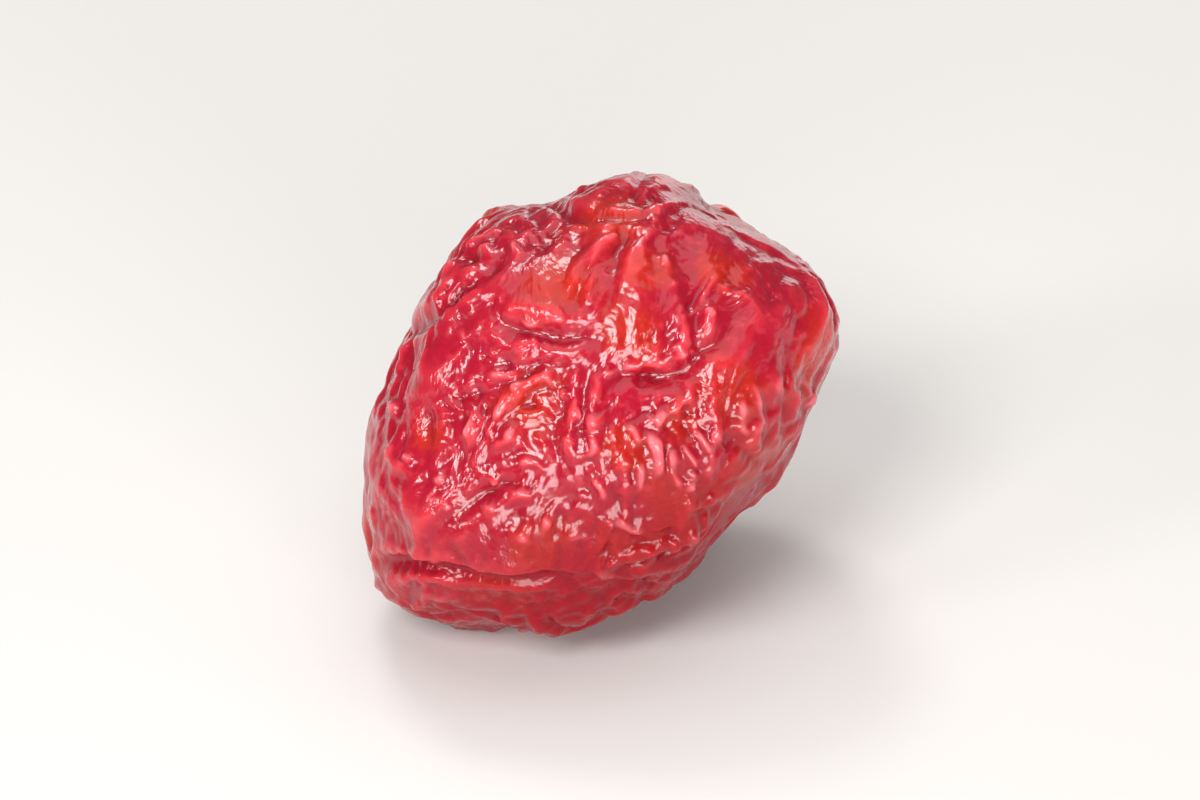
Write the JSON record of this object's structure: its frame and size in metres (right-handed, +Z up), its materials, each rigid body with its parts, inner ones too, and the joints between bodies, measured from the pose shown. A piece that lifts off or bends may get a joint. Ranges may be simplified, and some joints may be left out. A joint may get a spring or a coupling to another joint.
{
  "type": "wild plum",
  "caption": "Dried wild plum with a wrinkled, glossy red skin, lying on a small flat spot, with a stem cavity at its upper back.",
  "frame": {"origin": "centre of the bounding box's bottom face, on the table that the plum lies on", "axes": "+Z up, -Y towards the side with the best skin, +X to the right of that side, along the widest way across"},
  "size_m": [0.0364, 0.0344, 0.0339],
  "materials": {
    "plum_skin": "gloss"
  },
  "bodies": {
    "root": {"plum": "plum_skin"}
  },
  "joints": []
}
